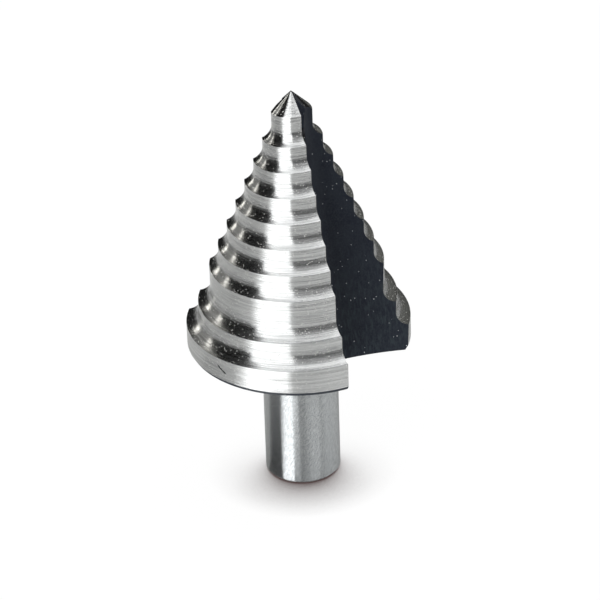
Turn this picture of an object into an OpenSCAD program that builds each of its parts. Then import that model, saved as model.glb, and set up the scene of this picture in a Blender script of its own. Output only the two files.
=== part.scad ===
// Two-flute step drill, ground from one piece of steel, standing on its shank with the point up.
// Millimetres. The origin is the centre of the shank's end face and +Z runs along the drill to its point.
// Both cutting faces lie in the XZ plane, and the drill cuts turning towards +Y from +X.

/* [Shank] */
// Diameter of the round shank, 3/8 inch
shank_d = 9.525; // [7:0.005:12]
// Length of shank below the stepped body
shank_len = 18.7; // [12:0.1:40]
// Bevel round the end of the shank
shank_bevel = 0.4; // [0.1:0.1:1]

/* [Steps] */
// Diameter of the pilot, the first cylinder behind the point
pilot_d = 5.5; // [4:0.1:7]
// Length of the pilot
pilot_len = 3.25; // [2.6:0.05:5]
// How many equal steps lead from the pilot up to the tall step
small_steps = 7; // [5:1:8]
// Distance from one small step to the next
step_pitch = 2.925; // [2.6:0.025:4]
// Diameter of the tall step, 7/8 inch
tall_d = 22.225; // [20:0.005:23]
// Length of the tall step
tall_len = 5; // [3:0.1:8]
// Diameter of the step above the rim, 1 inch
upper_d = 25.4; // [24:0.005:26.4]
// Length of the step above the rim
upper_len = 3; // [2.7:0.05:5]
// Diameter of the rim, the last and largest step, 1-1/8 inch
rim_d = 28.575; // [27.4:0.005:30]
// Length of the rim
rim_len = 3.45; // [2:0.05:6]
// Width of the bevel under the rim
rim_bevel_w = 0.3; // [0.1:0.05:0.6]
// Height of the bevel under the rim
rim_bevel_h = 0.5; // [0.1:0.05:1]

/* [Shoulders] */
// Radius of the hollow that runs from each cylinder out to the lip of the next step
hollow_r = 1.7; // [1.3:0.05:2.1]

/* [Flutes] */
// Distance from the drill's axis to the root of each flute, at the point
root_at_point = 0.35; // [0.2:0.05:0.6]
// Distance from the drill's axis to the root of each flute, at the underside of the body
root_at_base = 7.2; // [6.4:0.1:8]
// Radius of the grinding wheel that cuts the flutes, which gives their root its slow curve
wheel_r = 250; // [150:10:400]
// Radius across the wheel's rim, which hollows the back wall of the flute
wheel_crown_r = 35; // [20:1:60]
// Radius of the corner between the wheel's flat face and its rim, which rounds the flute's inner corner
wheel_corner_r = 3; // [1.5:0.25:4]

/* [Split point] */
// Half thickness left between the two notches of the split point, at its top
split_web = 0.32; // [0.2:0.02:0.6]
// Slope of each notch's floor, in degrees from the drill's axis
split_angle = 27; // [20:1:40]

/* [Relief] */
// Offset of each land's centre towards its cutting edge, so that the land falls away behind the edge
land_offset = 0.15; // [0.05:0.01:0.25]
// Angle across the point before its relief, in degrees
point_angle = 90; // [80:1:110]
// Tilt of each half of the point, so that it falls away behind its lip, in degrees
point_relief = 5; // [2:1:8]

/* [Hidden] */

steel = [0.74, 0.75, 0.76];
$fn = 96;
// Facets on the wheel's long curve, fine enough for its large radius
wheel_fn = 1440;
// Amount by which a cutter reaches past what it cuts
past = 1;

// Every step from the pilot to the rim, as its diameter and length
small_rise = (tall_d - pilot_d) / small_steps;
pilot_and_small = [for (i = [0:small_steps - 1]) [pilot_d + i * small_rise, i == 0 ? pilot_len : step_pitch]];
steps = concat(pilot_and_small, [[tall_d, tall_len], [upper_d, upper_len], [rim_d, rim_len]]);
last = len(steps) - 1;

// Heights along the drill
function length_from(i) = i > last ? 0 : steps[i][1] + length_from(i + 1);
function lip_z(i) = shank_len + length_from(i);
pilot_top = lip_z(0);
tip_z = pilot_top + pilot_d / 2 / tan(point_angle / 2);

// The hollow shoulder above step i leaves the step before it upright and sweeps out to its own lip
function land_r(i) = steps[i][0] / 2 - land_offset;
function sweep(i) = acos(max(0, 1 - (land_r(i) - land_r(i - 1)) / hollow_r));
function hollow_z(i) = lip_z(i) + hollow_r * sin(sweep(i));

// Centre of the grinding wheel, whose rim passes through the root at the point and at the base
root_top = [root_at_point, tip_z];
root_base = [root_at_base, shank_len];
root_mid = (root_top + root_base) / 2;
root_dir = (root_top - root_base) / norm(root_top - root_base);
wheel_reach = sqrt(pow(wheel_r, 2) - pow(norm(root_top - root_base) / 2, 2));
wheel_centre = root_mid + wheel_reach * [root_dir[1], -root_dir[0]];
// The stretch of the wheel that meets the drill, in degrees below level
wheel_sweep = 8 + asin((wheel_centre[1] - shank_len) / wheel_r);
// How deep into the wheel its modelled rim goes, and how thick it is
rim_depth = rim_d;
rim_width = rim_d;

// Half section of the stepped blank, as one outline
module blank_section() {
    difference() {
        for (i = [0:last]) {
            high = i == 0 ? tip_z : hollow_z(i);
            translate([0, shank_len]) square([land_r(i), high - shank_len]);
        }
        for (i = [1:last]) {
            translate([land_r(i - 1) + hollow_r, hollow_z(i)]) circle(r = hollow_r);
            translate([land_r(i - 1) + hollow_r, lip_z(i)]) square(2 * hollow_r);
        }
        rim_bevel();
    }
}

// The corner taken off under the rim
module rim_bevel() {
    translate([land_r(last), shank_len])
        polygon([[-rim_bevel_w, 0], [0, rim_bevel_h], [past, rim_bevel_h], [past, -past], [-rim_bevel_w, -past]]);
}

// The stepped blank that one land is cut from, turned about a centre set towards its cutting edge
module land_blank() {
    translate([land_offset, 0, 0])
        rotate_extrude()
            blank_section();
}

// Cone of the point, tilted about the tip so that it is highest at the lip on +X
module point_cone() {
    depth = tip_z - shank_len + past;
    translate([0, 0, tip_z])
        rotate([0, -point_relief, 0])
            translate([0, 0, -depth])
                cylinder(h = depth, r1 = depth * tan(point_angle / 2), r2 = 0);
}

// One half of the body, behind the cutting face that looks towards +Y
module half_body() {
    intersection() {
        land_blank();
        point_cone();
        translate([-rim_d, -rim_d, shank_len]) cube([2 * rim_d, rim_d, tip_z]);
    }
}

// Rim of the grinding wheel: a flat face, a small corner radius and a slightly crowned edge
module wheel_section() {
    crown = wheel_r - wheel_crown_r;
    corner = crown + sqrt(pow(wheel_crown_r - wheel_corner_r, 2) - pow(wheel_corner_r, 2));
    corner_slope = wheel_corner_r / (corner - crown);
    outside = wheel_r + past - corner;
    difference() {
        intersection() {
            translate([crown, 0]) circle(r = wheel_crown_r, $fn = 4 * $fn);
            translate([wheel_r - rim_depth, 0]) square([rim_depth + past, rim_width]);
        }
        difference() {
            translate([corner, 0])
                polygon([[0, -past], [outside, -past], [outside, wheel_corner_r + outside * corner_slope],
                    [0, wheel_corner_r]]);
            translate([corner, wheel_corner_r]) circle(r = wheel_corner_r);
        }
    }
}

// The flute in front of the cutting face on +X, as the wheel leaves it
module flute() {
    translate([wheel_centre[0], 0, wheel_centre[1]])
        rotate([-90, 0, 0])
            rotate([0, 0, 180 - wheel_sweep])
                rotate_extrude(angle = wheel_sweep, $fn = wheel_fn)
                    wheel_section();
}

// The notch that opens up the cutting lip at the point, between the cutting face and its own sloping floor
module split_notch() {
    reach = tip_z - shank_len;
    translate([split_web, 0, tip_z])
        rotate([0, -split_angle, 0])
            translate([0, 0, -reach])
                cube([rim_d, pilot_d, 2 * reach]);
}

module body() {
    difference() {
        for (turn = [0, 180]) {
            rotate([0, 0, turn]) half_body();
        }
        for (turn = [0, 180]) {
            rotate([0, 0, turn]) {
                flute();
                split_notch();
            }
        }
    }
}

module shank() {
    translate([0, 0, shank_bevel]) cylinder(d = shank_d, h = shank_len - shank_bevel + past);
    cylinder(d1 = shank_d - 2 * shank_bevel, d2 = shank_d, h = shank_bevel);
}

module step_drill() {
    color(steel) {
        body();
        shank();
    }
}

step_drill();
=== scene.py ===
"""Looks of the step drill: bright lands, dark flutes and a satin shank, on a white floor."""

import math

import bpy
from mathutils import Matrix, Vector


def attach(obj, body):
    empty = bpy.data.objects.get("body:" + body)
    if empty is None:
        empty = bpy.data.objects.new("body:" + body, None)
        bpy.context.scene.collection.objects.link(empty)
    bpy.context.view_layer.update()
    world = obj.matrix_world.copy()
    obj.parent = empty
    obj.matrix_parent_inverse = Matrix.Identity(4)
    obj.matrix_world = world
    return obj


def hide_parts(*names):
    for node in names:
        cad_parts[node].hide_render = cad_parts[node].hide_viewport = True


MM = 0.001

# The drill, in metres, from its shank to its point.
SHANK_DIAMETER = 9.525 * MM
SHANK_LENGTH = 18.7 * MM
SHANK_BEVEL = 0.4 * MM
RIM_DIAMETER = 28.575 * MM
RIM_LENGTH = 3.45 * MM
RIM_BEVEL_WIDTH = 0.3 * MM
RIM_BEVEL_HEIGHT = 0.5 * MM
UPPER_DIAMETER = 25.4 * MM
UPPER_LENGTH = 3 * MM
TALL_DIAMETER = 22.225 * MM
TALL_LENGTH = 5 * MM
SMALL_STEPS = 7
STEP_PITCH = 2.925 * MM
PILOT_DIAMETER = 5.5 * MM
PILOT_LENGTH = 3.25 * MM
HOLLOW_RADIUS = 1.7 * MM
POINT_ANGLE = math.radians(90)
POINT_TILT = math.radians(5)

# Relief of each land: it is turned about a centre set towards its cutting edge, and it drops as
# it runs back.
LAND_OFFSET = 0.15 * MM
LAND_DROP = 0.518 * MM
LAND_ANGLE = math.radians(126)

# The wheel that grinds the flutes, and the notch that splits the point.
WHEEL_RADIUS = 250 * MM
WHEEL_CROWN = 35 * MM
WHEEL_CORNER = 3 * MM
ROOT_AT_POINT = 0.35 * MM
ROOT_AT_BASE = 7.2 * MM
SPLIT_WEB = 0.32 * MM
SPLIT_ANGLE = math.radians(27)

# How much of the wheel is modelled: its depth, its width, and how far its stretch passes the
# level of its centre and the underside of the body.
WHEEL_DEPTH = 28 * MM
WHEEL_WIDTH = 24.5 * MM
WHEEL_ABOVE = math.radians(4)
WHEEL_BELOW = math.radians(2)

# The block that cuts the notch: its size, and how far it starts behind the cutting face.
NOTCH_BLOCK = (30 * MM, 7 * MM, 60 * MM)
NOTCH_BEHIND = 1 * MM

# How far forms reach past the place where they are cut or joined.
LAND_PAST = 2 * MM
TOOL_PAST = 5 * MM
JOINT_PAST = 1 * MM

# Fine edges, and how finely the round forms are divided.
LIP_ROUND = 0.04 * MM
LIP_STEPS = 4
HOLLOW_STEPS = 12
TURN_STEPS = 150
WHEEL_STEPS = 120
CORNER_STEPS = 16
CROWN_STEPS = 48
MERGE_DISTANCE = 0.0002 * MM
FACE_TOLERANCE = 0.001 * MM
SMOOTH_ANGLE = math.radians(28)

# The photograph's camera, about the drill's axis. Its lens and its sensor are in millimetres.
CAMERA_AZIMUTH = math.radians(-24.4)
CAMERA_ELEVATION = math.radians(30)
CAMERA_REACH = 451.235 * MM
CAMERA_HEIGHT = 283.669 * MM
AIM_HEIGHT = 24.23 * MM
AIM_RIGHT = 0.26 * MM
CAMERA_ROLL = math.radians(-1.905)
CAMERA_LENS = 249.38
CAMERA_SENSOR = 36
CAMERA_CLIP = 10 * MM


def drill_steps():
    """Diameter and length of each step, from the pilot down to the rim."""
    rise = (TALL_DIAMETER - PILOT_DIAMETER) / SMALL_STEPS
    steps = [(PILOT_DIAMETER, PILOT_LENGTH)]
    steps += [(PILOT_DIAMETER + i * rise, STEP_PITCH) for i in range(1, SMALL_STEPS)]
    steps += [(TALL_DIAMETER, TALL_LENGTH), (UPPER_DIAMETER, UPPER_LENGTH)]
    return steps + [(RIM_DIAMETER, RIM_LENGTH)]


def lip_height(i):
    """Height of step i's lip, on top of all the steps from there down."""
    return SHANK_LENGTH + sum(length for diameter, length in STEPS[i:])


STEPS = drill_steps()
LAND_RADII = [diameter / 2 - LAND_OFFSET for diameter, length in STEPS]
POINT_HEIGHT = lip_height(0) + PILOT_DIAMETER / 2 / math.tan(POINT_ANGLE / 2)


# Modelling helpers


def deselect_all():
    if bpy.context.object and bpy.context.object.mode != "OBJECT":
        bpy.ops.object.mode_set(mode="OBJECT")
    bpy.ops.object.select_all(action="DESELECT")


def only(piece):
    deselect_all()
    piece.select_set(True)
    bpy.context.view_layer.objects.active = piece


def place(piece, *moves):
    """Moves the piece, the last move first, and leaves its object at the origin."""
    only(piece)
    for move in reversed(moves):
        piece.matrix_world = move @ piece.matrix_world
    bpy.ops.object.transform_apply(location=True, rotation=True, scale=True)
    return piece


def copied(piece):
    copy = piece.copy()
    copy.data = piece.data.copy()
    bpy.context.collection.objects.link(copy)
    return copy


def apply_modifier(piece, kind, **settings):
    only(piece)
    modifier = piece.modifiers.new(kind.title(), kind)
    for name, value in settings.items():
        setattr(modifier, name, value)
    bpy.ops.object.modifier_apply(modifier=modifier.name)


def cut(piece, tool, operation="DIFFERENCE"):
    """Cuts, trims or joins the piece with a tool, which brings its own material and is used up."""
    apply_modifier(piece, "BOOLEAN", object=tool, operation=operation, solver="MANIFOLD",
                   material_mode="TRANSFER")
    bpy.data.objects.remove(tool, do_unlink=True)


def shift(x, y=0.0, z=0.0):
    return Matrix.Translation((x, y, z))


def turn(angle, axis):
    return Matrix.Rotation(angle, 4, axis)


def arc(centre, radius, start, end, steps):
    """Points along an arc in a plane, from one angle to another."""
    angles = [start + (end - start) * i / steps for i in range(steps + 1)]
    return [(centre[0] + radius * math.cos(a), centre[1] + radius * math.sin(a)) for a in angles]


def draw_outline(name, points, up="z", closed=True):
    """Edges through the points, extruded one from the other, in the plane of X and an axis."""
    places = [Vector((x, 0, y)) if up == "z" else Vector((x, y, 0)) for x, y in points]
    deselect_all()
    bpy.ops.mesh.primitive_plane_add(size=MM)
    outline = bpy.context.object
    outline.name = name
    bpy.ops.object.mode_set(mode="EDIT")
    bpy.ops.mesh.merge(type="CENTER")
    bpy.ops.transform.translate(value=places[0])
    for here, there in zip(places, places[1:] + places[: int(closed)]):
        bpy.ops.mesh.extrude_region_move(TRANSFORM_OT_translate={"value": there - here})
    bpy.ops.mesh.select_all(action="SELECT")
    bpy.ops.mesh.remove_doubles(threshold=MERGE_DISTANCE)
    bpy.ops.object.mode_set(mode="OBJECT")
    return outline


def sweep_outline(outline, angle, axis="Z", drop=0.0, steps=TURN_STEPS):
    """Sweeps an outline round an axis, and closes the ends where it doesn't meet itself."""
    apply_modifier(outline, "SCREW", angle=angle, screw_offset=drop, steps=steps,
                   render_steps=steps, axis=axis, use_merge_vertices=True,
                   merge_threshold=MERGE_DISTANCE, use_smooth_shade=False)
    bpy.ops.object.mode_set(mode="EDIT")
    bpy.ops.mesh.select_all(action="SELECT")
    bpy.ops.mesh.remove_doubles(threshold=MERGE_DISTANCE)
    bpy.ops.mesh.select_all(action="DESELECT")
    bpy.ops.mesh.select_non_manifold(extend=False, use_wire=False, use_multi_face=False,
                                     use_non_contiguous=False, use_verts=False)
    bpy.ops.mesh.edge_face_add()
    bpy.ops.mesh.select_all(action="SELECT")
    bpy.ops.mesh.normals_make_consistent(inside=False)
    bpy.ops.object.mode_set(mode="OBJECT")
    return outline


def lathed(name, points, finish):
    """A round form, from its half section."""
    piece = sweep_outline(draw_outline(name, points, closed=False), 2 * math.pi)
    piece.data.materials.append(finish)
    return piece


# The drill's forms


def land_outline():
    """Half section of the stepped body, at the height that it has at the cutting edge."""
    low, high = SHANK_LENGTH - LAND_PAST, POINT_HEIGHT + LAND_PAST
    points = [(0, low), (LAND_RADII[-1], low)]
    for i in reversed(range(1, len(STEPS))):
        radius, above = LAND_RADII[i], LAND_RADII[i - 1]
        lip = lip_height(i) + LAND_DROP / 2
        sweep = math.acos(1 - (radius - above) / HOLLOW_RADIUS)
        trim = LIP_ROUND * math.tan(sweep / 2)
        hollow = (above + HOLLOW_RADIUS, lip + HOLLOW_RADIUS * math.sin(sweep))
        hollow_start = math.pi + sweep - trim / HOLLOW_RADIUS
        points += [(radius, lip - 2 * LIP_ROUND)]
        points += arc((radius - LIP_ROUND, lip - trim), LIP_ROUND, 0, sweep, LIP_STEPS)
        points += arc(hollow, HOLLOW_RADIUS, hollow_start, math.pi, HOLLOW_STEPS)
        points += [(above, hollow[1] + LIP_ROUND)]
    return points + [(LAND_RADII[0], high), (0, high)]


def rim_cup(dark):
    """Keeps what is above the body's flat underside and inside the bevel under its rim."""
    foot = LAND_RADII[-1] - RIM_BEVEL_WIDTH
    flare = foot + RIM_BEVEL_WIDTH / RIM_BEVEL_HEIGHT * TOOL_PAST
    low, high = SHANK_LENGTH, POINT_HEIGHT + TOOL_PAST
    points = [(0, low), (foot, low), (flare, low + TOOL_PAST), (flare, high), (0, high)]
    return place(lathed("rim_cup", points, dark), shift(LAND_OFFSET))


def point_cone(steel):
    """Cone of the point, tilted about the tip so that it is highest at the lip."""
    depth = POINT_HEIGHT - SHANK_LENGTH + TOOL_PAST
    points = [(0, -depth), (depth * math.tan(POINT_ANGLE / 2), -depth), (0, 0)]
    cone = lathed("point_cone", points, steel)
    return place(cone, shift(0, 0, POINT_HEIGHT), turn(-POINT_TILT, "Y"))


def wheel_section():
    """Section of the grinding wheel's rim: its flat face, its corner and its crowned edge."""
    crown = WHEEL_RADIUS - WHEEL_CROWN
    corner = crown + math.sqrt((WHEEL_CROWN - WHEEL_CORNER) ** 2 - WHEEL_CORNER**2)
    slope = math.atan2(WHEEL_CORNER, corner - crown)
    edge = math.asin(WHEEL_WIDTH / WHEEL_CROWN)
    inner = WHEEL_RADIUS - WHEEL_DEPTH
    points = arc((corner, WHEEL_CORNER), WHEEL_CORNER, -math.pi / 2, slope, CORNER_STEPS)
    points += arc((crown, 0), WHEEL_CROWN, slope, edge, CROWN_STEPS)[1:]
    return points + [(inner, points[-1][1]), (inner, -JOINT_PAST), (corner, -JOINT_PAST)]


def flute_wheel(dark):
    """The stretch of the wheel's rim that meets the drill, as it grinds the flute on +X."""
    top, base = Vector((ROOT_AT_POINT, POINT_HEIGHT)), Vector((ROOT_AT_BASE, SHANK_LENGTH))
    along = (top - base).normalized()
    reach = math.sqrt(WHEEL_RADIUS**2 - ((top - base).length / 2) ** 2)
    centre = (top + base) / 2 + reach * Vector((along[1], -along[0]))
    last = math.asin((centre[1] - SHANK_LENGTH) / WHEEL_RADIUS) + WHEEL_BELOW
    wheel = place(draw_outline("flute_wheel", wheel_section(), up="y"),
                  turn(math.pi + WHEEL_ABOVE, "Y"))
    sweep_outline(wheel, -WHEEL_ABOVE - last, axis="Y", steps=WHEEL_STEPS)
    wheel.data.materials.append(dark)
    return place(wheel, shift(centre[0], 0, centre[1]))


def split_notch(dark):
    """The notch in front of the lip, between the cutting face and its own sloping floor."""
    middle = (NOTCH_BLOCK[0] / 2, NOTCH_BLOCK[1] / 2 - NOTCH_BEHIND, 0)
    deselect_all()
    bpy.ops.mesh.primitive_cube_add(size=1, location=middle, scale=NOTCH_BLOCK)
    notch = bpy.context.object
    notch.data.materials.append(dark)
    return place(notch, shift(SPLIT_WEB, 0, POINT_HEIGHT), turn(-SPLIT_ANGLE, "Y"))


def half_body(steel, dark):
    """The land behind one dark cutting face, with the other land's flute cut into it."""
    land = sweep_outline(draw_outline("land", land_outline()), -math.pi,
                         drop=-LAND_DROP * math.pi / LAND_ANGLE)
    land.data.materials.append(steel)
    land.data.materials.append(dark)
    for face in land.data.polygons:
        face.material_index = int(abs(face.center.y) < FACE_TOLERANCE)
    place(land, shift(LAND_OFFSET))
    cut(land, rim_cup(dark), "INTERSECT")
    cut(land, point_cone(steel), "INTERSECT")
    cut(land, place(flute_wheel(dark), turn(math.pi, "Z")))
    cut(land, place(split_notch(dark), turn(math.pi, "Z")))
    return land


def shank(satin):
    """The plain round shank, with a bevel round its end."""
    radius, top = SHANK_DIAMETER / 2, SHANK_LENGTH + JOINT_PAST
    points = [(0, 0), (radius - SHANK_BEVEL, 0), (radius, SHANK_BEVEL), (radius, top), (0, top)]
    return lathed("shank", points, satin)


def step_drill(steel, dark, satin):
    """The whole drill in one piece: two half bodies, half a turn apart, on the shank."""
    drill = half_body(steel, dark)
    other = place(copied(drill), turn(math.pi, "Z"))
    cut(drill, shank(satin), "UNION")
    cut(drill, other, "UNION")
    drill.name = "step_drill_ground"
    only(drill)
    bpy.ops.object.shade_smooth_by_angle(angle=SMOOTH_ANGLE)
    return drill


# Shader helpers


# The Mix node's sockets for colours: its amount, its two colours and its result.
MIX_AMOUNT, MIX_LOW, MIX_HIGH, MIX_RESULT = 0, 6, 7, 2


class Nodes:
    """Adds the nodes of one material, in the order in which the pattern or the light passes."""

    def __init__(self, tree):
        self.tree = tree
        tree.nodes.clear()

    def add(self, kind, *inputs, **settings):
        node = self.tree.nodes.new(kind)
        for name, value in settings.items():
            setattr(node, name, value)
        return self.join(node, dict(enumerate(inputs)))

    def join(self, node, inputs):
        """Links each input that is a node or a socket, and sets each one that is a value."""
        for name, value in inputs.items():
            socket = node.inputs[name]
            if isinstance(value, bpy.types.Node):
                self.tree.links.new(value.outputs[0], socket)
            elif isinstance(value, bpy.types.NodeSocket):
                self.tree.links.new(value, socket)
            else:
                socket.default_value = value
        return node

    def math(self, operation, *inputs):
        return self.add("ShaderNodeMath", *inputs, operation=operation)

    def plus(self, first, second):
        return self.math("ADD", first, second)

    def minus(self, first, second):
        return self.math("SUBTRACT", first, second)

    def times(self, first, second):
        return self.math("MULTIPLY", first, second)

    def distance(self, along, across):
        """Distance between two places, from how far apart they are along and across."""
        squares = self.plus(self.math("POWER", along, 2.0), self.math("POWER", across, 2.0))
        return self.math("SQRT", squares)

    def vector(self, operation, *inputs):
        return self.add("ShaderNodeVectorMath", *inputs, operation=operation)

    def scaled(self, vector, amount):
        """The vector, made longer or shorter by an amount."""
        return self.join(self.vector("SCALE", vector), {"Scale": amount})

    def parts(self, vector):
        """The vector's X, Y and Z."""
        return self.add("ShaderNodeSeparateXYZ", vector).outputs

    def ramp(self, value, start, end, low=0.0, high=1.0, kind="SMOOTHSTEP"):
        """Leads from low to high as the value goes from start to end."""
        return self.add("ShaderNodeMapRange", value, start, end, low, high,
                        interpolation_type=kind)

    def rise(self, value, middle, soft):
        """Nought below the middle and one above it, with a soft change between."""
        return self.ramp(value, middle - soft, middle + soft)

    def fall(self, value, middle, soft):
        """One below the middle and nought above it, with a soft change between."""
        return self.ramp(value, middle - soft, middle + soft, 1.0, 0.0)

    def band(self, value, first, last, soft):
        """One between first and last, and nought outside them."""
        return self.times(self.rise(value, first, soft), self.fall(value, last, soft))

    def blend(self, amount, low, high):
        """A colour that goes from low to high as the amount goes from nought to one."""
        node = self.add("ShaderNodeMix", data_type="RGBA")
        self.join(node, {MIX_AMOUNT: amount, MIX_LOW: low, MIX_HIGH: high})
        return node.outputs[MIX_RESULT]

    def noise(self, vector, scale, detail, roughness):
        node = self.add("ShaderNodeTexNoise")
        return self.join(node, {"Vector": vector, "Scale": scale, "Detail": detail,
                                "Roughness": roughness})


def colour(red, green, blue):
    return (red, green, blue, 1.0)


def new_material(name):
    material = bpy.data.materials.new(name)
    material.use_nodes = True
    return material, Nodes(material.node_tree)


def millimetres(nodes):
    """Place on the piece, in millimetres."""
    return nodes.scaled(nodes.add("ShaderNodeTexCoord").outputs["Object"], 1 / MM)


def facing_camera(nodes, vector):
    """The vector's parts towards the photograph's camera, to its right and up."""
    turned = nodes.add("ShaderNodeVectorRotate", vector, rotation_type="Z_AXIS")
    return nodes.parts(nodes.join(turned, {"Angle": -CAMERA_AZIMUTH}))


# Finish of the drill


# Ground metal spreads light along the drill, a quarter turn from its grinding lines.
GROUND_METAL = {"Roughness": 0.24, "Anisotropic": 0.95, "Anisotropic Rotation": 0.25}

# How slowly the grinding lines change along their length, round the lands and round the shank.
LAND_LINE_STRETCH = 0.12
SHANK_LINE_STRETCH = 0.35

# The value about which a noise pattern varies.
NOISE_MEAN = 0.5

LAND_DULL = colour(0.5, 0.51, 0.51)
LAND_BRIGHT = colour(0.73, 0.74, 0.74)
# Pale dull colour of pits on the lands: the pits are real, and their paleness is a painted glint.
LAND_PIT_GLINT = colour(0.75, 0.75, 0.72)
# Dark colour of a real scratch on the rim, and of the painted shade at the heel.
LAND_SCRATCH_AND_SHADE = colour(0.045, 0.047, 0.052)

FLUTE_DARKEST = colour(0.010, 0.013, 0.025)
FLUTE_DARK = colour(0.017, 0.022, 0.034)
FLUTE_GRAIN = colour(0.026, 0.033, 0.044)
FLUTE_STREAK = colour(0.034, 0.046, 0.056)
# Pale colour of pits in the flutes: the pits are real, and their paleness is a painted glint.
FLUTE_PIT_GLINT = colour(0.7, 0.72, 0.75)
FLUTE_ROUGHNESS = 0.5
FLUTE_SHEEN = 0.25

# The flutes' upright streaks: the heights between which they come in, downwards, in millimetres,
# and how slowly they change along their length.
STREAKS_START = 36.0
STREAKS_FULL = 20.0
STREAK_STRETCH = 0.12

SHANK_DULL = colour(0.42, 0.44, 0.45)
SHANK_BRIGHT = colour(0.62, 0.64, 0.65)

# How the shank's fine grain leans, and how slowly it changes along its length.
SHANK_GRAIN_LEAN = -0.45
SHANK_GRAIN_STRETCH = 0.3

# Where the cone and the pilot run out behind the land, in front of the other lip, they are
# painted as dark as the flute: painted shade, standing in for the dark surroundings that the steel
# reflects there. They darken between these angles, and between these heights in millimetres.
HEEL_SHADE_ANGLES = (math.radians(110), math.radians(118))
HEEL_SHADE_HEIGHTS = (46.8, 47.2)

# A short scratch on the rim, by its middle round the land and up it, its slope, its length and
# its width, with the softness of its ends and sides, in millimetres.
SCRATCH_ROUND = 16.8
SCRATCH_HEIGHT = 20.93
SCRATCH_SLOPE = math.radians(30.7)
SCRATCH_LENGTH = 1.5
SCRATCH_WIDTH = 0.24
SCRATCH_END = 0.06
SCRATCH_SIDE = 0.04


def land_coordinates(nodes, place_mm):
    """Height as at the cutting edge, radius, angle back from that edge, and side of a land."""
    x, y, z = nodes.parts(place_mm)
    side = nodes.math("SIGN", y)
    along = nodes.minus(nodes.times(nodes.times(x, side), -1.0), LAND_OFFSET / MM)
    across = nodes.math("ABSOLUTE", y)
    angle = nodes.math("ARCTAN2", across, along)
    radius = nodes.distance(along, across)
    height = nodes.plus(z, nodes.times(angle, LAND_DROP / LAND_ANGLE / MM))
    return height, radius, angle, side


def slopes(nodes, grooves, scale, amount, detail=1.0):
    """Slopes of grooves at one scale, about a mean of nought."""
    texture = nodes.noise(grooves, scale, detail, roughness=0.6)
    return nodes.times(nodes.minus(texture, NOISE_MEAN), amount)


def micro_slopes(nodes, grooves, gentle, steep):
    """Slopes of grooves finer than the eye sees: most of them gentle, and a few of them steep."""
    slope = slopes(nodes, grooves, scale=61.0, amount=1.0, detail=3.0)
    cubed = nodes.math("POWER", nodes.math("ABSOLUTE", slope), 3.0)
    tail = nodes.times(nodes.times(cubed, nodes.math("SIGN", slope)), steep)
    return nodes.plus(nodes.times(slope, gentle), tail)


def grooved_normal(nodes, round_about, slope):
    """The surface's normal, leaned along the drill by the slope of the lines round it."""
    normal = nodes.add("ShaderNodeNewGeometry").outputs["Normal"]
    lean = nodes.scaled(nodes.vector("CROSS_PRODUCT", normal, round_about), slope)
    return nodes.vector("NORMALIZE", nodes.vector("ADD", normal, lean))


def ground_metal(nodes, shade, metallic, slope):
    """Metal ground round the drill's axis, with lines of the given slope."""
    tangent = nodes.add("ShaderNodeTangent", direction_type="RADIAL", axis="Z")
    normal = grooved_normal(nodes, tangent, slope)
    surface = nodes.add("ShaderNodeBsdfPrincipled")
    return nodes.join(surface, {"Base Color": shade, "Metallic": metallic, "Normal": normal,
                                "Tangent": tangent, **GROUND_METAL})


def specks(nodes, place_mm, scale, share, size):
    """One on round specks, in a share of the cells of a pattern, and nought between them."""
    cells = nodes.add("ShaderNodeTexVoronoi")
    nodes.join(cells, {"Vector": place_mm, "Scale": scale, "Randomness": 1.0})
    chosen = nodes.math("LESS_THAN", nodes.parts(cells.outputs["Color"])[0], share)
    return nodes.times(nodes.math("LESS_THAN", cells.outputs["Distance"], size), chosen)


def scratch_mark(nodes, height, radius, angle, side):
    """One on the scratch, on the land whose side is negative, and nought round it."""
    beside = nodes.minus(nodes.times(radius, angle), SCRATCH_ROUND)
    above = nodes.minus(height, SCRATCH_HEIGHT)
    level, steep = math.cos(SCRATCH_SLOPE), math.sin(SCRATCH_SLOPE)
    along = nodes.plus(nodes.times(beside, level), nodes.times(above, steep))
    across = nodes.minus(nodes.times(above, level), nodes.times(beside, steep))
    mark = nodes.times(nodes.band(along, -SCRATCH_LENGTH / 2, SCRATCH_LENGTH / 2, SCRATCH_END),
                       nodes.band(across, -SCRATCH_WIDTH / 2, SCRATCH_WIDTH / 2, SCRATCH_SIDE))
    return nodes.times(mark, nodes.math("LESS_THAN", side, 0.0))


def land_steel():
    """Bright steel of the lands, with the fine lines that the grinding wheel leaves round them."""
    material, nodes = new_material("land_steel")
    place_mm = millimetres(nodes)
    height, radius, angle, side = land_coordinates(nodes, place_mm)
    grooves = nodes.add("ShaderNodeCombineXYZ", height, radius,
                        nodes.times(angle, LAND_LINE_STRETCH))
    lines = nodes.noise(grooves, scale=8.0, detail=3.0, roughness=0.7)
    shade = nodes.blend(nodes.ramp(lines, start=0.36, end=0.62), LAND_DULL, LAND_BRIGHT)
    # Painted shade: the heel of the cone and the pilot is coloured dark.
    heel_shade = nodes.times(nodes.ramp(angle, *HEEL_SHADE_ANGLES), nodes.ramp(height, *HEEL_SHADE_HEIGHTS))
    scratch = scratch_mark(nodes, height, radius, angle, side)
    # One dark colour for the painted shade at the heel and the real scratch on the rim.
    shade = nodes.blend(nodes.math("MAXIMUM", heel_shade, scratch), shade, LAND_SCRATCH_AND_SHADE)
    # Painted glints: pale, dull specks at the pits, where real pits would catch light.
    pit_glints = specks(nodes, place_mm, scale=4.0, share=0.3, size=0.24)
    slope = nodes.plus(slopes(nodes, grooves, scale=5.0, amount=0.5),
                       slopes(nodes, place_mm, scale=9.0, amount=0.35))
    slope = nodes.plus(slope, micro_slopes(nodes, grooves, gentle=0.5, steep=18.0))
    surface = ground_metal(nodes, nodes.blend(pit_glints, shade, LAND_PIT_GLINT), nodes.minus(1.0, pit_glints),
                           slope)
    nodes.add("ShaderNodeOutputMaterial", surface)
    return material


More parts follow.
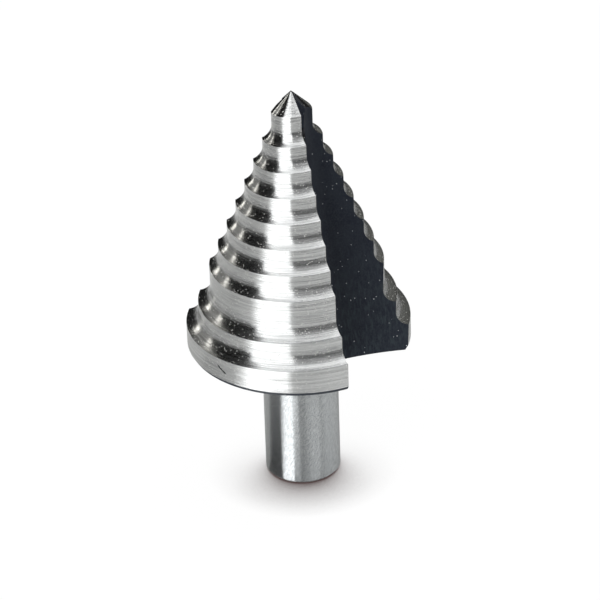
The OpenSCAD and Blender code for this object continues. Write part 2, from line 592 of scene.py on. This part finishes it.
def flute_steel():
    """Dark steel of the flutes, the cutting faces and the notches at the point."""
    material, nodes = new_material("flute_steel")
    place_mm = millimetres(nodes)
    cloud = nodes.noise(place_mm, scale=0.35, detail=3.0, roughness=0.6)
    grain = nodes.noise(place_mm, scale=5.0, detail=2.0, roughness=0.6)
    upright = nodes.vector("MULTIPLY", place_mm, (1.0, 1.0, STREAK_STRETCH))
    streaks = nodes.noise(upright, scale=3.5, detail=3.0, roughness=0.6)
    low = nodes.ramp(nodes.parts(place_mm)[2], STREAKS_START, STREAKS_FULL)
    streaks = nodes.times(nodes.ramp(streaks, start=0.42, end=0.7),
                          nodes.ramp(low, start=-0.3, end=1.0))
    tone = nodes.blend(nodes.ramp(cloud, start=0.35, end=0.65), FLUTE_DARKEST, FLUTE_DARK)
    tone = nodes.blend(nodes.ramp(grain, start=0.35, end=0.75), tone, FLUTE_GRAIN)
    tone = nodes.blend(streaks, tone, FLUTE_STREAK)
    # Painted glints: pale specks at the pits in the flutes.
    pit_glints = nodes.math("MAXIMUM", specks(nodes, place_mm, scale=1.6, share=0.2, size=0.1),
                      specks(nodes, place_mm, scale=3.5, share=0.06, size=0.18))
    surface = nodes.add("ShaderNodeBsdfPrincipled")
    nodes.join(surface, {"Base Color": nodes.blend(pit_glints, tone, FLUTE_PIT_GLINT),
                         "Roughness": FLUTE_ROUGHNESS, "Specular IOR Level": FLUTE_SHEEN})
    nodes.add("ShaderNodeOutputMaterial", surface)
    return material


def shank_steel():
    """Satin steel of the shank."""
    material, nodes = new_material("shank_steel")
    x, y, z = nodes.parts(millimetres(nodes))
    angle = nodes.math("ARCTAN2", y, x)
    grooves = nodes.add("ShaderNodeCombineXYZ", z, 0.0, nodes.times(angle, SHANK_LINE_STRETCH))
    slanted = nodes.plus(nodes.times(angle, SHANK_DIAMETER / 2 / MM),
                         nodes.times(z, SHANK_GRAIN_LEAN))
    leaning = nodes.add("ShaderNodeCombineXYZ", slanted, nodes.times(z, SHANK_GRAIN_STRETCH), 0.0)
    grain = nodes.noise(leaning, scale=5.0, detail=4.0, roughness=0.7)
    shade = nodes.blend(nodes.ramp(grain, start=0.3, end=0.7), SHANK_DULL, SHANK_BRIGHT)
    slope = micro_slopes(nodes, grooves, gentle=2.4, steep=40.0)
    nodes.add("ShaderNodeOutputMaterial", ground_metal(nodes, shade, 1.0, slope))
    return material


# The studio floor


WHITE = colour(1.0, 1.0, 1.0)

# Length of the floor's sides, in metres.
FLOOR_SIZE = 4

# The floor as the metal shows it: its colour near the drill and far from it, and the distances
# between which it changes, in millimetres. The dark far colour is painted shade, where the
# studio's light falls off.
FLOOR_NEAR = colour(0.72, 0.72, 0.71)
FLOOR_FAR_SHADE = colour(0.06, 0.06, 0.06)
FLOOR_SHADE_FALLOFF = (110.0, 230.0)

# The floor as the camera shows it: mostly its own glow, with a little light that falls on it.
FLOOR_GLOW = 0.97
FLOOR_PAPER = colour(0.05, 0.05, 0.05)

# The contact shadow: how far the drill shades the floor, in how many samples, the way that it
# looks for open sky, away from the camera and up, the open shares from dark to white, and its
# darkest colour.
SHADOW_REACH = 8 * MM
SHADOW_SAMPLES = 8
SHADOW_AWAY = 0.75
SHADOW_UP = 0.66
SHADOW_OPEN = (0.31, 0.945)
SHADOW_COLOUR = colour(0.06, 0.03, 0.027)

# Glowing cards painted on the floor, which show in the metal alone: painted light for the metal
# to reflect. Each has its apex towards the camera and to its right of the drill's axis, in
# millimetres, the two sides of its wedge with their softness, in degrees to the camera's right,
# the distances from the axis between which it lies, in millimetres, and its strength.
GLOWING_FLOOR_CARDS = [
    ((13.3, 0.0), (-62.6, 1.5), (-13.0, 1.5), (40.0, 4000.0), 1.4),
    ((0.0, 0.0), (-75.0, 15.0), (75.0, 25.0), (36.0, 150.0), 0.17),
    ((0.0, 0.0), (-178.0, 1.0), (-143.0, 4.0), (36.0, 110.0), 0.16),
    ((3.0, -0.3), (-66.0, 1.2), (-28.5, 1.2), (5.0, 36.0), 1.6),
    ((3.0, -0.3), (25.0, 25.0), (57.0, 1.5), (5.0, 36.0), 0.36),
    ((3.0, -0.3), (57.0, 1.5), (140.0, 10.0), (5.0, 36.0), 0.14),
]

# Softness of the near and far ends of a card, in millimetres.
CARD_END_SOFT = 1.0

# A painted shadow on the floor beside the shank, which the metal alone shows: a grey wedge given
# as the cards are, but with no light of its own.
FLOOR_PAINTED_SHADOW = ((3.0, -0.3), (-112.0, 4.0), (-67.0, 1.5), (5.0, 36.0))
FLOOR_PAINTED_SHADOW_COLOUR = colour(0.2, 0.2, 0.2)


def floor_wedge(nodes, near, aside, apex, first, last, reach):
    """One on a wedge of the floor, and nought round it."""
    angle = nodes.math("DEGREES", nodes.math("ARCTAN2", nodes.minus(aside, apex[1]),
                                             nodes.minus(near, apex[0])))
    sides = nodes.times(nodes.rise(angle, *first), nodes.fall(angle, *last))
    distance = nodes.distance(near, aside)
    return nodes.times(sides, nodes.band(distance, *reach, CARD_END_SOFT))


def contact_shadow(nodes):
    """The floor's colour to the camera, from dark close to the drill to white."""
    away = (-SHADOW_AWAY * math.cos(CAMERA_AZIMUTH), -SHADOW_AWAY * math.sin(CAMERA_AZIMUTH))
    leaning = nodes.add("ShaderNodeCombineXYZ", *away, SHADOW_UP)
    open_sky = nodes.add("ShaderNodeAmbientOcclusion", samples=SHADOW_SAMPLES)
    nodes.join(open_sky, {"Distance": SHADOW_REACH, "Normal": leaning})
    light = nodes.ramp(open_sky.outputs["AO"], *SHADOW_OPEN, kind="LINEAR")
    return nodes.blend(light, SHADOW_COLOUR, WHITE)


def white_floor():
    """White paper to the camera. To the metal it has glowing cards and a painted shadow on it, and
    painted shade darkens it far from the drill.
    """
    material, nodes = new_material("white_floor")
    place_mm = millimetres(nodes)
    near, aside = facing_camera(nodes, place_mm)[:2]
    distance = nodes.vector("LENGTH", place_mm).outputs["Value"]
    # Painted shade: the paper darkens far from the drill.
    paper_fading_to_shade = nodes.blend(nodes.ramp(distance, *FLOOR_SHADE_FALLOFF), FLOOR_NEAR, FLOOR_FAR_SHADE)
    # Painted shadow: a grey wedge on the floor beside the shank, seen in the metal alone.
    painted_shadow = floor_wedge(nodes, near, aside, *FLOOR_PAINTED_SHADOW)
    paper = nodes.add("ShaderNodeBsdfDiffuse", nodes.blend(painted_shadow, paper_fading_to_shade, FLOOR_PAINTED_SHADOW_COLOUR))
    # Painted light: the cards glow on the floor, seen in the metal alone.
    card_glow = 0.0
    for *wedge, strength in GLOWING_FLOOR_CARDS:
        glowing_card = floor_wedge(nodes, near, aside, *wedge)
        card_glow = nodes.plus(card_glow, nodes.times(glowing_card, strength))
    shown_in_metal = nodes.add("ShaderNodeAddShader", paper,
                               nodes.add("ShaderNodeEmission", WHITE, card_glow))
    shown_to_camera = nodes.add(
        "ShaderNodeAddShader", nodes.add("ShaderNodeBsdfDiffuse", FLOOR_PAPER),
        nodes.add("ShaderNodeEmission", contact_shadow(nodes), FLOOR_GLOW))
    seen = nodes.add("ShaderNodeLightPath").outputs["Is Camera Ray"]
    shown = nodes.add("ShaderNodeMixShader", seen, shown_in_metal, shown_to_camera)
    nodes.add("ShaderNodeOutputMaterial", shown)
    return material


def studio_floor():
    deselect_all()
    bpy.ops.mesh.primitive_plane_add(size=FLOOR_SIZE)
    floor = bpy.context.object
    floor.name = "studio_floor"
    floor.data.materials.append(white_floor())


# The studio lights


# Strip lights on the camera's left, each as the azimuths on the drill between which it shows to
# the camera, the softness of its sides, the lowest and highest share of its direction that
# points up, the softness there, its strength and its colour.
STRIP_LIGHTS = [
    ((-29.0, -4.6), 0.8, (-0.07, 0.88), 0.02, 1.85, (1.0, 1.0, 1.0)),
    ((-74.0, -60.5), 1.5, (-0.07, 0.6), 0.04, 0.26, (1.0, 0.98, 0.94)),
    ((-79.5, -75.5), 0.6, (-0.07, 0.42), 0.05, 2.6, (1.0, 0.97, 0.9)),
    ((-62.0, -59.3), 0.6, (0.25, 0.95), 0.25, 2.3, (1.0, 0.97, 0.9)),
]

# Every strip light fades out as a direction's share to the camera's right goes from the first of
# these to the second.
LEFT_EDGE = (-0.05, 0.0)

# Soft lights round the drill, each as its span of directions to the camera's right and upwards,
# in degrees, the softness of its edge, its strength and its colour.
SOFT_LIGHTS = [
    ((-12, 70), (26, 55), 6, 0.5, (1.0, 1.0, 1.0)),
    ((68, 125), (-5, 40), 4, 0.9, (0.97, 0.98, 1.0)),
    ((128, 166), (-8, 40), 4, 0.14, (1.0, 1.0, 0.92)),
]

# The box overhead, as its span towards the camera and to its right, as shares of its height
# above the drill, with the softness of its edge. On the left it ends where the drill shows it at
# the given azimuth, with a softness in degrees.
CEILING_NEAR = (-1.1, 0.42)
CEILING_RIGHT = 0.9
CEILING_SOFT = 0.05
CEILING_LEFT = -25.5
CEILING_LEFT_SOFT = 1.0
CEILING_STRENGTH = 1.3
CEILING_COLOUR = (1.0, 1.0, 1.0)

# The dim light between the lamps, and the least height of a direction that reaches the ceiling.
DIM_LIGHT = (0.01, 0.01, 0.01)
LEAST_HEIGHT = 0.01


def shown_past(nodes, near, aside, azimuth):
    """Degrees round the drill, past an azimuth, at which it shows a direction to the camera.

    Whatever its slope, the surface at an azimuth shows the camera only directions whose share
    along its level tangent is the camera's own, turned round. The degrees are an upright wall's.
    """
    level, turned = math.cos(CAMERA_ELEVATION), math.radians(azimuth)
    sideways = nodes.minus(nodes.times(aside, math.cos(turned)),
                           nodes.times(near, math.sin(turned)))
    offset = nodes.minus(sideways, level * math.sin(turned))
    return nodes.times(offset, math.degrees(0.5 / (level * math.cos(turned))))


def strip_light(nodes, near, aside, height, azimuths, side_soft, rise, end_soft):
    """One where a strip light is, and nought round it."""
    begins = nodes.rise(shown_past(nodes, near, aside, azimuths[0]), 0.0, side_soft)
    ends = nodes.fall(shown_past(nodes, near, aside, azimuths[1]), 0.0, side_soft)
    on_left = nodes.ramp(aside, *LEFT_EDGE, 1.0, 0.0)
    wide = nodes.times(nodes.times(begins, ends), on_left)
    return nodes.times(wide, nodes.band(height, *rise, end_soft))


def soft_light(nodes, right, up, across, rise, soft):
    """One where a soft light is, and nought round it."""
    return nodes.times(nodes.band(right, *across, soft), nodes.band(up, *rise, soft))


def ceiling_light(nodes, x, y, z):
    """One where the box overhead is, and nought round it."""
    height = nodes.math("MAXIMUM", z, LEAST_HEIGHT)
    near, aside = nodes.math("DIVIDE", x, height), nodes.math("DIVIDE", y, height)
    box = nodes.times(nodes.band(near, *CEILING_NEAR, CEILING_SOFT),
                      nodes.fall(aside, CEILING_RIGHT, CEILING_SOFT))
    past_left = shown_past(nodes, x, y, CEILING_LEFT)
    return nodes.times(box, nodes.rise(past_left, 0.0, CEILING_LEFT_SOFT))


def studio_world():
    """The studio's lamps, which show in the metal, and plain white to the camera."""
    world = bpy.data.worlds.new("studio")
    bpy.context.scene.world = world
    world.use_nodes = True
    nodes = Nodes(world.node_tree)
    x, y, z = facing_camera(nodes, nodes.add("ShaderNodeTexCoord").outputs["Generated"])
    right = nodes.math("DEGREES", nodes.math("ARCTAN2", y, x))
    up = nodes.math("DEGREES", nodes.math("ARCSINE", z))
    lights = [(strip_light(nodes, x, y, z, *form), strength, tint)
              for *form, strength, tint in STRIP_LIGHTS]
    lights += [(soft_light(nodes, right, up, *form), strength, tint)
               for *form, strength, tint in SOFT_LIGHTS]
    lights += [(ceiling_light(nodes, x, y, z), CEILING_STRENGTH, CEILING_COLOUR)]
    total = DIM_LIGHT
    for mask, strength, tint in lights:
        total = nodes.vector("ADD", total, nodes.scaled(tint, nodes.times(mask, strength)))
    studio = nodes.add("ShaderNodeBackground", total, 1.0)
    white = nodes.add("ShaderNodeBackground", WHITE, 1.0)
    seen = nodes.add("ShaderNodeLightPath").outputs["Is Camera Ray"]
    nodes.add("ShaderNodeOutputWorld", nodes.add("ShaderNodeMixShader", seen, studio, white))


def photograph_camera():
    """The camera where it stood for the photograph, aimed a little to its right of the axis."""
    position = Vector((CAMERA_REACH * math.cos(CAMERA_AZIMUTH),
                       CAMERA_REACH * math.sin(CAMERA_AZIMUTH), CAMERA_HEIGHT))
    level_right = Vector((-math.sin(CAMERA_AZIMUTH), math.cos(CAMERA_AZIMUTH), 0))
    aim = Vector((0, 0, AIM_HEIGHT)) + AIM_RIGHT * level_right
    forward = (aim - position).normalized()
    right = forward.cross(Vector((0, 0, 1))).normalized()
    up = right.cross(forward)
    rolled_right = math.cos(CAMERA_ROLL) * right + math.sin(CAMERA_ROLL) * up
    rolled_up = -math.sin(CAMERA_ROLL) * right + math.cos(CAMERA_ROLL) * up
    lens = bpy.data.cameras.new("photograph_camera")
    lens.lens = CAMERA_LENS
    lens.sensor_width = CAMERA_SENSOR
    lens.clip_start = CAMERA_CLIP
    camera = bpy.data.objects.new("photograph_camera", lens)
    bpy.context.collection.objects.link(camera)
    turned = Matrix((rolled_right, rolled_up, -forward)).transposed().to_4x4()
    camera.matrix_world = Matrix.Translation(position) @ turned
    bpy.context.scene.camera = camera


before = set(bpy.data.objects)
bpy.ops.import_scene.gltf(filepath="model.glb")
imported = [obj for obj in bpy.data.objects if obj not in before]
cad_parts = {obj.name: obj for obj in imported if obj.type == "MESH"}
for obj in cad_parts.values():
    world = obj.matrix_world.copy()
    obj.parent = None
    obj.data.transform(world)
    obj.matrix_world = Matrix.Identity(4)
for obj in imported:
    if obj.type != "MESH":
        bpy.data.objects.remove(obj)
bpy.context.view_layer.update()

drill = step_drill(land_steel(), flute_steel(), shank_steel())
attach(drill, "root")
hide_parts("step_drill")

studio_floor()
studio_world()
photograph_camera()
bpy.context.scene.view_settings.view_transform = "Standard"
